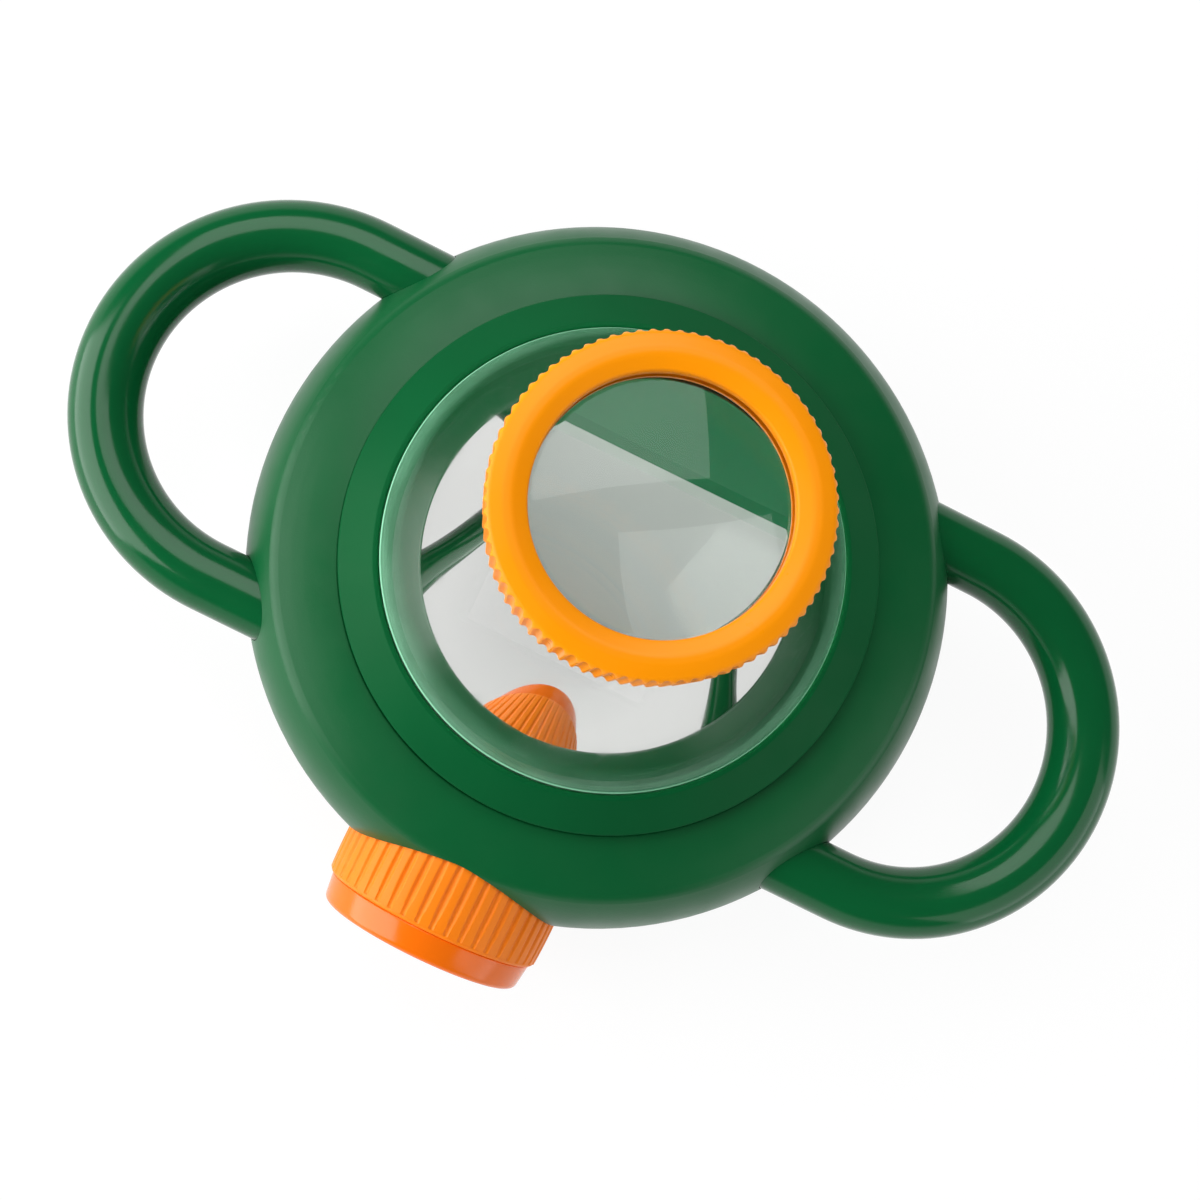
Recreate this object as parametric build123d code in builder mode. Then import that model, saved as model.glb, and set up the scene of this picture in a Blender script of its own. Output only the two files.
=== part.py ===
"""Bug catcher jar with a lens lid on top and a mirror eyepiece on the side.

Millimetres. +Z is up, the origin is the centre of the flat bottom, the handles lie along X and the
eyepiece looks out along -Y.
"""

import math
import os

from build123d import *

# Body: a bowl, a side that leans in, a rounded shoulder and a shallow dome up to the collar
base_radius = 69.5
waist_height = 28.5
foot_inset = 13.0
foot_lift = 0.6
shell_wall = 2.6
side_radius = 26.7
side_height = 18.5
shoulder_round = 4.0
dome_rise = 2.7
dome_bulge = 0.3
dome_edge_round = 0.4
ledge_drop = 0.4
ledge_width = 6.3

# Clear jar, its floor and the flat seal under it
jar_wall = 2.2
jar_foot_radius = 42.1
jar_foot_reveal = 0.6
jar_foot_round = 1.4
jar_cone_angle = 22.0
jar_flange_width = 2.2
jar_flange_thickness = 2.4
neck_radius = 21.6
neck_wall = 1.6
neck_shoulder = 1.4
neck_height = 9.5
window_thickness = 2.0
seal_thickness = 0.8

# Collar that clamps the jar's flange
collar_wall = 5.3
collar_step = 2.6
collar_rise = 4.7
collar_edge_round = 0.8
collar_lip_width = 0.9
collar_lip_round = 0.4
collar_gap = 0.3
collar_recess_gap = 0.1
collar_screw_count = 6
collar_screw_length = 7.0

# Lens lid
lid_fit = 0.3
lid_wall = 2.5
lid_bottom_gap = 1.2
lid_top_flange = 2.5
lid_edge_round = 1.6
lid_bevel = 1.3
lid_flute_count = 80
lid_flute_radius = 0.75
lid_flute_depth = 0.5
lens_rim_width = 2.2
lens_rim_thickness = 2.4
lens_rim_fit = 1.3
lens_crown = 1.9
retainer_thickness = 1.4
retainer_fit = 0.1
gasket_thickness = 0.8
seat_gap = 0.05
trim_clear = 0.2

# Eyepiece, which turns on a flanged sleeve in a pocket of the body
eyepiece_height = 24.0
pocket_inset = 10.8
pocket_wall = 2.6
pocket_fit = 0.5
boss_inset = 0.6
boss_length = 8.0
grip_back_gap = 0.7
grip_radius = 22.4
grip_length = 15.9
grip_flange = 1.8
grip_crown = 0.3
grip_skirt = 1.6
grip_edge_round = 0.9
grip_rib_count = 48
grip_groove_radius = 0.6
grip_groove_depth = 0.5
cup_step = 1.1
cup_length = 5.6
cup_taper = 8.0
cup_edge_round = 1.3
cup_dish = 1.4
socket_radius = 15.6
socket_wall = 1.8
socket_press = 0.05
socket_fit = 0.3
socket_front_gap = 0.6
socket_flange_thickness = 1.4
socket_flange_gap = 0.5
socket_tail = 7.0
eye_lens_radius = 15.0
eye_lens_edge = 1.8
eye_lens_crown = 1.2
eye_lens_rim = 1.1
eye_retainer_thickness = 1.2
optic_gap = 0.1

# Handles
handle_tube_radius = 6.85
handle_loop_radius = 35.0
handle_rise = 8.1
handle_leg_length = 19.0
handle_socket_inset = 21.5
handle_socket_wall = 2.2
handle_fit = 0.15

# Mirror and its carrier
mirror_width = 40.0
mirror_length = 48.8
mirror_thickness = 2.0
mirror_reveal = 0.4
mirror_gap = 0.1
carrier_width = 44.0
carrier_wall = 2.4
carrier_shelf = 8.2
carrier_lip = 1.2
carrier_post_radius = 3.6
carrier_post_spread = 28.0

# Bottom plate and screws
plate_thickness = 3.0
plate_gap = 0.3
post_inset = 6.7
post_radius = 4.0
post_count = 4
screw_radius = 1.25
screw_length = 10.0
screw_head_radius = 2.7
screw_head_height = 1.6
screw_sink = 0.3
pilot_fit = 0.05
screw_hole_fit = 0.3

# Heights of the body and of the stack that the collar clamps
shoulder_height = waist_height + side_height
ledge_height = shoulder_height - ledge_drop
ceiling_height = ledge_height - shell_wall
window_bottom = ledge_height + seal_thickness
flange_bottom = window_bottom + window_thickness
flange_top = flange_bottom + jar_flange_thickness
dome_top = shoulder_height + dome_rise
collar_edge_height = dome_top + collar_step
collar_lip_height = collar_edge_height + collar_rise
jar_foot_top = collar_lip_height + jar_foot_reveal

# Radii from the jar outwards
flange_radius = jar_foot_radius + jar_flange_width
ledge_opening = flange_radius - ledge_width
collar_lip_radius = jar_foot_radius + collar_gap
collar_bore = flange_radius + collar_gap
collar_radius = collar_bore + collar_wall
collar_screw_circle = collar_bore + collar_wall / 2
recess_radius = collar_radius + collar_recess_gap

# Jar, neck and lid
cone_turn = math.radians(jar_cone_angle)
cone_wall = jar_wall / math.cos(cone_turn)
cone_top_radius = neck_radius + neck_shoulder
cone_top = jar_foot_top + (jar_foot_radius - cone_top_radius) / math.tan(cone_turn)
neck_bore = neck_radius - neck_wall
neck_top = cone_top + neck_height
gasket_top = neck_top + gasket_thickness
retainer_top = gasket_top + retainer_thickness
lens_top = retainer_top + lens_rim_thickness
lid_bore = neck_radius + lid_fit
lid_radius = lid_bore + lid_wall
lid_bottom = cone_top + lid_bottom_gap
lid_seat = lens_top + seat_gap
lid_top = lid_seat + lid_top_flange
lens_radius = lid_bore - lens_rim_fit
lens_window = lens_radius - lens_rim_width

# Eyepiece, as radii and distances from the jar's axis towards -Y
pocket_floor = base_radius - pocket_inset
pocket_radius = grip_radius + pocket_fit
boss_radius = grip_radius - boss_inset
cup_radius = grip_radius - cup_step
grip_back = pocket_floor + grip_back_gap
grip_front = grip_back + grip_length
grip_bore = socket_radius + socket_fit
socket_bore = socket_radius - socket_wall
socket_front = grip_front - grip_flange - socket_front_gap
socket_flange_front = pocket_floor + socket_flange_thickness
flange_pocket = grip_radius - grip_crown - grip_skirt
socket_flange_radius = flange_pocket - socket_flange_gap
cup_front = grip_front + cup_length
eye_bore = eye_lens_radius + optic_gap
eye_window = eye_lens_radius - eye_lens_rim
eye_retainer_back = grip_front + optic_gap
eye_lens_back = eye_retainer_back + eye_retainer_thickness
eye_lens_front = eye_lens_back + eye_lens_edge

# Handles, mirror and plate
handle_height = waist_height + handle_rise
handle_socket_end = base_radius - handle_socket_inset
handle_arc_start = handle_socket_end + handle_leg_length
slope = math.sqrt(0.5)
mirror_head = eyepiece_height + mirror_length / 2 * slope
carrier_top = mirror_head - mirror_reveal
slope_offset = mirror_thickness / slope - eyepiece_height
carrier_foot = plate_thickness + slope_offset
carrier_head = carrier_top + slope_offset
carrier_back = carrier_head + carrier_shelf
screw_head_top = screw_sink + screw_head_height

# The bowl's arc meets the foot and stands upright at the waist, where the side's arc begins
bowl_rise = waist_height - foot_lift
bowl_radius = (foot_inset**2 + bowl_rise**2) / (2 * foot_inset)
bowl_centre = base_radius - bowl_radius
side_centre = base_radius - side_radius
inner_bowl = bowl_radius - shell_wall
inner_side = side_radius - shell_wall


def bowl_point(radius, height):
    """Where the bowl's arc of the given radius crosses a height."""
    return (bowl_centre + math.sqrt(radius**2 - (height - waist_height) ** 2), height)


def side_point(radius, height):
    """Where the side's arc of the given radius crosses a height."""
    return (side_centre + math.sqrt(radius**2 - (height - waist_height) ** 2), height)


def ring_of_places(count, radius, first_angle):
    """Evenly spaced (x, y) places on a circle about Z."""
    turns = [math.radians(first_angle + 360 * index / count) for index in range(count)]
    return [(radius * math.cos(turn), radius * math.sin(turn)) for turn in turns]


plate_radius = bowl_point(inner_bowl, foot_lift)[0] - plate_gap
base_screw_places = ring_of_places(post_count, plate_radius - post_inset, 45)
collar_screw_places = ring_of_places(collar_screw_count, collar_screw_circle, 30)
carrier_post_y = carrier_back - carrier_post_radius
carrier_screw_places = [(side * carrier_post_spread / 2, carrier_post_y) for side in (-1, 1)]
plate_screw_places = base_screw_places + carrier_screw_places

# Section planes: radius against height for the jar, radius against reach for the eyepiece
jar_section = Plane.XZ
eyepiece_centre = (0, 0, eyepiece_height)
eyepiece_axis = Axis(eyepiece_centre, (0, -1, 0))
eyepiece_section = Plane(origin=eyepiece_centre, x_dir=(1, 0, 0), z_dir=(0, 0, -1))
eyepiece_face = Plane(origin=eyepiece_centre, x_dir=(1, 0, 0), z_dir=(0, -1, 0))

os.makedirs("parts", exist_ok=True)


def finish(piece, name):
    """Label a finished piece and write it under its own name."""
    piece.part.label = name
    export_step(piece.part, f"parts/{name}.step")
    print(f"{name}: {len(piece.part.solids())} solid(s), {piece.part.volume / 1000:.2f} cm3")


def flat_ring(plane, inner, outer, length):
    """A square-edged ring standing on a plane."""
    with BuildPart() as ring:
        with BuildSketch(plane):
            Circle(outer)
            Circle(inner, mode=Mode.SUBTRACT)
        extrude(amount=length)
    return ring


def crowned_lens(plane, axis, radius, window, back, front, crown):
    """A lens with a flat rim outside its window and a crown on both faces."""
    with BuildPart() as lens:
        with BuildSketch(plane):
            with BuildLine():
                Line((0, back - crown), (0, front + crown))
                TangentArc((0, front + crown), (window, front), tangent=(1, 0))
                Polyline((window, front), (radius, front), (radius, back), (window, back))
                TangentArc((0, back - crown), (window, back), tangent=(1, 0))
            make_face()
        revolve(axis=axis)
    return lens


def screw_group(places, head_bottom, length):
    """Pan-head screws, heads down, at the given (x, y) places."""
    with BuildPart() as group:
        with BuildSketch(Plane.XY.offset(head_bottom)):
            with Locations(*places):
                Circle(screw_head_radius)
        extrude(amount=screw_head_height)
        with BuildSketch(Plane.XY.offset(head_bottom + screw_head_height)):
            with Locations(*places):
                Circle(screw_radius)
        extrude(amount=length)
    return group


def handle_face(side, reach):
    """The upright plane across one handle's two legs, looking outwards."""
    return Plane(origin=(side * reach, 0, handle_height), x_dir=(0, 1, 0), z_dir=(side, 0, 0))


leg_places = [(-handle_loop_radius, 0), (handle_loop_radius, 0)]

# The body's full outer form, which also trims the bosses that stand inside it
with BuildPart() as envelope:
    with BuildSketch(jar_section) as outline:
        with BuildLine():
            foot = bowl_point(bowl_radius, foot_lift)
            bowl_middle = bowl_point(bowl_radius, foot_lift + bowl_rise / 2)
            waist = bowl_point(bowl_radius, waist_height)
            side_middle = side_point(side_radius, waist_height + side_height / 2)
            shoulder = side_point(side_radius, shoulder_height)
            dome_end = (recess_radius, dome_top)
            dome_chord = ((shoulder[0] + recess_radius) / 2, (shoulder_height + dome_top) / 2)
            Line((0, foot_lift), foot)
            ThreePointArc(foot, bowl_middle, waist)
            ThreePointArc(waist, side_middle, shoulder)
            ThreePointArc(shoulder, (dome_chord[0], dome_chord[1] + dome_bulge), dome_end)
            Polyline(dome_end, (recess_radius, ledge_height), (0, ledge_height), (0, foot_lift))
        make_face()
        fillet(outline.vertices().sort_by_distance((*shoulder, 0))[0], shoulder_round)
        fillet(outline.vertices().sort_by_distance((*dome_end, 0))[0], dome_edge_round)
    revolve(axis=Axis.Z)

# The hollow inside, open at the bottom and under the jar
with BuildPart() as hollow:
    with BuildSketch(jar_section):
        with BuildLine():
            low = bowl_point(inner_bowl, foot_lift)
            low_middle = bowl_point(inner_bowl, foot_lift + bowl_rise / 2)
            inner_waist = bowl_point(inner_bowl, waist_height)
            high_middle = side_point(inner_side, (waist_height + ceiling_height) / 2)
            ceiling_edge = side_point(inner_side, ceiling_height)
            Line((0, foot_lift), low)
            ThreePointArc(low, low_middle, inner_waist)
            ThreePointArc(inner_waist, high_middle, ceiling_edge)
            Polyline(
                ceiling_edge,
                (ledge_opening, ceiling_height),
                (ledge_opening, ledge_height),
                (0, ledge_height),
                (0, foot_lift),
            )
        make_face()
    revolve(axis=Axis.Z)

# Bosses inside the body: the eyepiece pocket, the handle sockets and the screw posts
with BuildPart() as bosses:
    with BuildSketch(eyepiece_face.offset(pocket_floor - pocket_wall)):
        Circle(pocket_radius + pocket_wall)
    extrude(amount=pocket_inset + pocket_wall)
    for side in (-1, 1):
        with BuildSketch(handle_face(side, handle_socket_end - handle_socket_wall)):
            with Locations(*leg_places):
                Circle(handle_tube_radius + handle_fit + handle_socket_wall)
        extrude(amount=handle_socket_inset)
    with BuildSketch(Plane.XY.offset(plate_thickness)):
        with Locations(*base_screw_places):
            Circle(post_radius)
    extrude(amount=ledge_height - plate_thickness)
    add(envelope.part, mode=Mode.INTERSECT)

with BuildPart() as base_shell:
    add(envelope.part)
    # Below its middle the eyepiece's seat stands out of the bowl
    with BuildSketch(eyepiece_face.offset(pocket_floor - boss_length)):
        Circle(boss_radius)
        Rectangle(2 * boss_radius, boss_radius, align=(Align.CENTER, Align.MAX), mode=Mode.INTERSECT)
    extrude(amount=boss_length)
    add(hollow.part, mode=Mode.SUBTRACT)
    add(bosses.part)
    # Pocket that the ribbed ring turns in, and the bore for its sleeve
    with BuildSketch(eyepiece_face.offset(pocket_floor)):
        Circle(pocket_radius)
    extrude(amount=base_radius, mode=Mode.SUBTRACT)
    with BuildSketch(eyepiece_face.offset(pocket_floor - boss_length)):
        Circle(socket_radius + socket_press)
    extrude(amount=boss_length, mode=Mode.SUBTRACT)
    # Blind bores for the handles' legs
    for side in (-1, 1):
        with BuildSketch(handle_face(side, handle_socket_end)):
            with Locations(*leg_places):
                Circle(handle_tube_radius + handle_fit)
        extrude(amount=base_radius, mode=Mode.SUBTRACT)
    # Pilot holes up the posts, and holes in the ledge for the collar's screws
    with BuildSketch(Plane.XY.offset(plate_thickness)):
        with Locations(*base_screw_places):
            Circle(screw_radius + pilot_fit)
    extrude(amount=screw_length, mode=Mode.SUBTRACT)
    with BuildSketch(Plane.XY.offset(ceiling_height)):
        with Locations(*collar_screw_places):
            Circle(screw_radius + screw_hole_fit)
    extrude(amount=shell_wall, mode=Mode.SUBTRACT)
finish(base_shell, "base_shell")

# Flat bottom plate with sunk screw holes
with BuildPart() as base_plate:
    with BuildSketch():
        Circle(plate_radius)
        with Locations(*plate_screw_places):
            Circle(screw_radius + screw_hole_fit, mode=Mode.SUBTRACT)
    extrude(amount=plate_thickness)
    with BuildSketch():
        with Locations(*plate_screw_places):
            Circle(screw_head_radius + screw_hole_fit)
    extrude(amount=screw_head_top, mode=Mode.SUBTRACT)
finish(base_plate, "base_plate")

finish(screw_group(base_screw_places, screw_sink, screw_length), "base_screws")
finish(screw_group(carrier_screw_places, screw_sink, screw_length), "carrier_screws")
collar_head_bottom = ceiling_height - screw_head_height
finish(screw_group(collar_screw_places, collar_head_bottom, collar_screw_length), "collar_screws")


def handle(side):
    """One loop handle: a round tube along two straight legs and a half circle."""
    leg_end = side * (handle_socket_end + handle_fit)
    arc_start = side * handle_arc_start
    arc_tip = side * (handle_arc_start + handle_loop_radius)
    half = handle_loop_radius
    level = handle_height
    with BuildPart() as loop:
        with BuildLine():
            Line((leg_end, half, level), (arc_start, half, level))
            ThreePointArc((arc_start, half, level), (arc_tip, 0, level), (arc_start, -half, level))
            Line((arc_start, -half, level), (leg_end, -half, level))
        with BuildSketch(handle_face(side, handle_socket_end + handle_fit)):
            with Locations((half, 0)):
                Circle(handle_tube_radius)
        sweep()
    return loop


finish(handle(-1), "handle_left")
finish(handle(1), "handle_right")

# Mirror at 45 degrees, between the jar's floor and the eyepiece
mirror_face = Plane(origin=eyepiece_centre, x_dir=(1, 0, 0), z_dir=(0, -1, 1))
with BuildPart() as mirror:
    with BuildSketch(mirror_face):
        Rectangle(mirror_width, mirror_length)
    extrude(amount=-mirror_thickness)
finish(mirror, "mirror")

# Wedge that carries the mirror: hollow from below, with a shelf, a toe lip and two screw posts
with BuildPart() as mirror_carrier:
    with BuildSketch(Plane.YZ.offset(-carrier_width / 2)):
        with BuildLine():
            Polyline(
                (carrier_foot, plate_thickness),
                (carrier_head, carrier_top),
                (carrier_back, carrier_top),
                (carrier_back, plate_thickness),
                close=True,
            )
        make_face()
    extrude(amount=carrier_width)
    slope_wall = carrier_wall / slope
    inner_back = carrier_back - carrier_wall
    inner_top = carrier_top - carrier_wall
    with BuildSketch(Plane.YZ.offset(-carrier_width / 2 + carrier_wall)):
        with BuildLine():
            Polyline(
                (carrier_foot + slope_wall, plate_thickness),
                (carrier_head + slope_wall - carrier_wall, inner_top),
                (inner_back, inner_top),
                (inner_back, plate_thickness),
                close=True,
            )
        make_face()
    extrude(amount=carrier_width - 2 * carrier_wall, mode=Mode.SUBTRACT)
    with BuildSketch(mirror_face):
        with Locations((0, -mirror_length / 2 - mirror_gap)):
            Rectangle(carrier_width, carrier_lip, align=(Align.CENTER, Align.MAX))
    extrude(amount=-mirror_thickness)
    with BuildSketch(Plane.XY.offset(plate_thickness)):
        with Locations(*carrier_screw_places):
            Circle(carrier_post_radius)
    extrude(amount=inner_top - plate_thickness)
    with BuildSketch(Plane.XY.offset(plate_thickness)):
        with Locations(*carrier_screw_places):
            Circle(screw_radius + pilot_fit)
    extrude(amount=screw_length, mode=Mode.SUBTRACT)
finish(mirror_carrier, "mirror_carrier")

seal_plane = Plane.XY.offset(ledge_height)
finish(flat_ring(seal_plane, ledge_opening, flange_radius, seal_thickness), "floor_seal")

with BuildPart() as floor_window:
    with BuildSketch(Plane.XY.offset(window_bottom)):
        Circle(flange_radius)
    extrude(amount=window_thickness)
finish(floor_window, "floor_window")

# Clear jar: clamped flange, short upright foot, cone and neck
with BuildPart() as jar:
    with BuildSketch(jar_section):
        with BuildLine():
            inner_foot = jar_foot_radius - cone_wall
            inner_cone_top = cone_top_radius - cone_wall
            Polyline(
                (flange_radius, flange_bottom),
                (flange_radius, flange_top),
                (jar_foot_radius, flange_top),
                (jar_foot_radius, jar_foot_top),
                (cone_top_radius, cone_top),
                (neck_radius, cone_top),
                (neck_radius, neck_top),
                (neck_bore, neck_top),
                (neck_bore, cone_top),
                (inner_cone_top, cone_top),
                (inner_foot, jar_foot_top),
                (inner_foot, flange_bottom),
                close=True,
            )
        make_face()
    revolve(axis=Axis.Z)
    foot_edges = jar.edges().filter_by(GeomType.CIRCLE)
    fillet(foot_edges.filter_by_position(Axis.Z, jar_foot_top, jar_foot_top), jar_foot_round)
finish(jar, "jar")

# Collar: a step up from the body, a sloping top and a rounded lip beside the jar
with BuildPart() as jar_collar:
    with BuildSketch(jar_section):
        with BuildLine():
            flange_cover = flange_top + seat_gap
            Polyline(
                (collar_bore, ledge_height),
                (collar_radius, ledge_height),
                (collar_radius, collar_edge_height),
                (collar_lip_radius + collar_lip_width, collar_lip_height),
                (collar_lip_radius, collar_lip_height),
                (collar_lip_radius, flange_cover),
                (collar_bore, flange_cover),
                close=True,
            )
        make_face()
    revolve(axis=Axis.Z)
    turned_edges = jar_collar.edges().filter_by(GeomType.CIRCLE)
    outer_edge = turned_edges.filter_by_position(Axis.Z, collar_edge_height, collar_edge_height)
    fillet(outer_edge, collar_edge_round)
    lip_edges = jar_collar.edges().filter_by(GeomType.CIRCLE).group_by(Axis.Z)[-1]
    fillet(lip_edges, collar_lip_round)
    with BuildSketch(Plane.XY.offset(ledge_height)):
        with Locations(*collar_screw_places):
            Circle(screw_radius + pilot_fit)
    extrude(amount=collar_screw_length - shell_wall + screw_hole_fit, mode=Mode.SUBTRACT)
finish(jar_collar, "jar_collar")

# Lid ring: a scalloped prism, a little oversize, cut to the ring's turned section
with BuildPart() as lens_ring:
    with BuildSketch(Plane.XY.offset(lid_bottom - trim_clear)):
        Circle(lid_radius + trim_clear)
        with PolarLocations(lid_radius + lid_flute_radius - lid_flute_depth, lid_flute_count):
            Circle(lid_flute_radius, mode=Mode.SUBTRACT)
    extrude(amount=lid_top - lid_bottom + 2 * trim_clear)
    with BuildSketch(jar_section):
        with BuildLine():
            edge_foot = (lid_radius, lid_top - lid_edge_round)
            edge_head = (lid_radius - lid_edge_round, lid_top)
            Polyline((lid_bore, lid_bottom), (lid_radius, lid_bottom), edge_foot)
            TangentArc(edge_foot, edge_head, tangent=(0, 1))
            bevel_head = (lens_window + lid_bevel, lid_top)
            bevel_foot = (lens_window, lid_top - lid_bevel)
            Line(edge_head, bevel_head)
            TangentArc(bevel_head, bevel_foot, tangent=(-1, 0))
            Polyline(bevel_foot, (lens_window, lid_seat), (lid_bore, lid_seat), (lid_bore, lid_bottom))
        make_face()
    revolve(axis=Axis.Z, mode=Mode.INTERSECT)
finish(lens_ring, "lens_ring")

magnifier_lens = crowned_lens(
    jar_section, Axis.Z, lens_radius, lens_window, retainer_top, lens_top, lens_crown
)
finish(magnifier_lens, "magnifier_lens")

retainer_plane = Plane.XY.offset(gasket_top)
retainer_radius = lid_bore - retainer_fit
finish(
    flat_ring(retainer_plane, lens_window, retainer_radius, retainer_thickness), "lens_retainer"
)
finish(flat_ring(Plane.XY.offset(neck_top), neck_bore, neck_radius, gasket_thickness), "lid_gasket")

# Sleeve of the eyepiece, its flange against the pocket's floor
with BuildPart() as eyepiece_socket:
    with BuildSketch(eyepiece_section):
        with BuildLine():
            Polyline(
                (socket_bore, pocket_floor - socket_tail),
                (socket_radius, pocket_floor - socket_tail),
                (socket_radius, pocket_floor),
                (socket_flange_radius, pocket_floor),
                (socket_flange_radius, socket_flange_front),
                (socket_radius, socket_flange_front),
                (socket_radius, socket_front),
                (socket_bore, socket_front),
                close=True,
            )
        make_face()
    revolve(axis=eyepiece_axis)
finish(eyepiece_socket, "eyepiece_socket")

# Ribbed ring: a grooved prism, a little oversize, cut to the ring's turned section
with BuildPart() as eyepiece_ring:
    with BuildSketch(eyepiece_face.offset(grip_back - trim_clear)):
        Circle(grip_radius + trim_clear)
        with PolarLocations(grip_radius + grip_groove_radius - grip_groove_depth, grip_rib_count):
            Circle(grip_groove_radius, mode=Mode.SUBTRACT)
    extrude(amount=grip_length + 2 * trim_clear)
    with BuildSketch(eyepiece_section):
        with BuildLine():
            back_edge = (grip_radius - grip_crown, grip_back)
            crown_top = (grip_radius, (grip_back + grip_front) / 2)
            front_edge = (grip_radius - grip_crown, grip_front - grip_edge_round)
            front_rim = (grip_radius - grip_crown - grip_edge_round, grip_front)
            flange_clear = socket_flange_front + socket_flange_gap
            ThreePointArc(back_edge, crown_top, front_edge)
            TangentArc(front_edge, front_rim, tangent=(0, 1))
            Polyline(
                front_rim,
                (socket_bore, grip_front),
                (socket_bore, grip_front - grip_flange),
                (grip_bore, grip_front - grip_flange),
                (grip_bore, flange_clear),
                (flange_pocket, flange_clear),
                (flange_pocket, grip_back),
                back_edge,
            )
        make_face()
    revolve(axis=eyepiece_axis, mode=Mode.INTERSECT)
finish(eyepiece_ring, "eyepiece_ring")

# Smooth front of the eyepiece: a tapered rim with a dished face around the lens
with BuildPart() as eyepiece_cup:
    with BuildSketch(eyepiece_section):
        with BuildLine():
            taper = math.radians(cup_taper)
            tip_radius = cup_radius - (cup_length - cup_edge_round) * math.tan(taper)
            tip = (tip_radius, cup_front - cup_edge_round)
            rim = (tip_radius - cup_edge_round, cup_front)
            lens_stop = eye_lens_front + optic_gap
            Polyline((eye_bore, grip_front), (cup_radius, grip_front), tip)
            TangentArc(tip, rim, tangent=(-math.sin(taper), math.cos(taper)))
            Polyline(
                rim,
                (eye_window, cup_front - cup_dish),
                (eye_window, lens_stop),
                (eye_bore, lens_stop),
                (eye_bore, grip_front),
            )
        make_face()
    revolve(axis=eyepiece_axis)
finish(eyepiece_cup, "eyepiece_cup")

eyepiece_lens = crowned_lens(
    eyepiece_section,
    eyepiece_axis,
    eye_lens_radius,
    eye_window,
    eye_lens_back,
    eye_lens_front,
    eye_lens_crown,
)
finish(eyepiece_lens, "eyepiece_lens")

eye_retainer_plane = eyepiece_face.offset(eye_retainer_back)
finish(
    flat_ring(eye_retainer_plane, eye_window, eye_lens_radius, eye_retainer_thickness),
    "eyepiece_retainer",
)

print(f"overall: {2 * (handle_arc_start + handle_loop_radius + handle_tube_radius):.1f} wide,")
print(f"{base_radius + cup_front:.1f} deep, {lid_top:.1f} high")
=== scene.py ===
# %% [markdown]
# # A bug catcher jar, dressed for a studio photograph
# The construction comes from the CAD model, which loads here as a fixed frame in metres. This lesson
# gives each piece a smooth surface and a real finish around that frame: a satin green body, gloss
# handles, a clear cone, an orange lens lid and a ribbed orange eyepiece.

# %% Load the frame
import math

import bmesh
import bpy
from mathutils import Matrix, Vector


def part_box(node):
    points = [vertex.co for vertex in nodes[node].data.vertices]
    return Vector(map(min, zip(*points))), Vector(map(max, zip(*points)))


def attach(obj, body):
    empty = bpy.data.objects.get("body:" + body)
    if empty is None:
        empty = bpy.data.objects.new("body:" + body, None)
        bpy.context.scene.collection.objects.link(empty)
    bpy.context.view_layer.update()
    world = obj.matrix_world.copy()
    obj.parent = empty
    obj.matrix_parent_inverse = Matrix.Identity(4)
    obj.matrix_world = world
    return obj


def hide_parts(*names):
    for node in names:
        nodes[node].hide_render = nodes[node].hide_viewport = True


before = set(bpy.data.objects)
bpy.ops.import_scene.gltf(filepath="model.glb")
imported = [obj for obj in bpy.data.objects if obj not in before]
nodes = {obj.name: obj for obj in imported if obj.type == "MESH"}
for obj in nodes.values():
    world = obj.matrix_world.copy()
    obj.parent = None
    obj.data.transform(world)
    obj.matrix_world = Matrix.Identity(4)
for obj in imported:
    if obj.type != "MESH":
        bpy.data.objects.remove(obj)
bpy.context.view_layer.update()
MM = 0.001

# %% [markdown]
# ## Measures
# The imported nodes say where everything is, so the main radii and heights are read from their boxes, in
# millimetres. A box can't show roundings, clearances and walls, so these few numbers are written in
# the cell of the piece that has them.


# %% Read the main radii and heights
def span(node, axis):
    """Lowest and highest coordinate of a node along one axis, in millimetres."""
    low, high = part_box(node)
    return low[axis] / MM, high[axis] / MM


X, Y, Z = 0, 1, 2
base_radius = span("base_shell", X)[1]
handle_low, handle_high = span("handle_right", Z)
equator = (handle_low + handle_high) / 2
tube_radius = (handle_high - handle_low) / 2
collar_radius = span("jar_collar", X)[1]
ledge, collar_top = span("jar_collar", Z)
flange_radius = span("jar", X)[1]
flange_bottom, neck_top = span("jar", Z)
lid_radius = span("lens_ring", X)[1]
lid_bottom, lid_top = span("lens_ring", Z)
lens_radius = span("magnifier_lens", X)[1]
lens_low, lens_high = span("magnifier_lens", Z)
eye_low, eye_high = span("eyepiece_cup", Z)
eye_height = (eye_low + eye_high) / 2
cup_radius = (eye_high - eye_low) / 2
cup_front = -span("eyepiece_cup", Y)[0]
grip_radius = span("eyepiece_ring", X)[1]
grip_front = -span("eyepiece_ring", Y)[0]
grip_back = -span("eyepiece_ring", Y)[1]
eye_lens_radius = span("eyepiece_lens", X)[1]
eye_front = -span("eyepiece_lens", Y)[0]
eye_back = -span("eyepiece_lens", Y)[1]
print(f"body {2 * base_radius:.1f} wide, lid top {lid_top:.1f}, eyepiece to {cup_front:.1f} mm")

# %% [markdown]
# ## Camera
# The photograph was taken from close above, a little to the eyepiece's side, so the lid looks large
# and shifted against the base. A camera is easiest to place from the point it looks at, the tilt of
# its axis from the vertical, and the direction in the object that is up in the picture. All lengths
# of this cell are in millimetres.

# %% Place the camera
look_at = Vector((1.7, -5.75, 36.6))
camera_distance = 275.0
nearest_shown = 10.0
tilt = math.radians(7.1)
swing = math.radians(-110.9)
roll = math.radians(-0.41)
picture_up = Vector((-0.446, 0.895, 0.0))
focal_length = 42.6
sensor_width = 36.0

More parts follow.
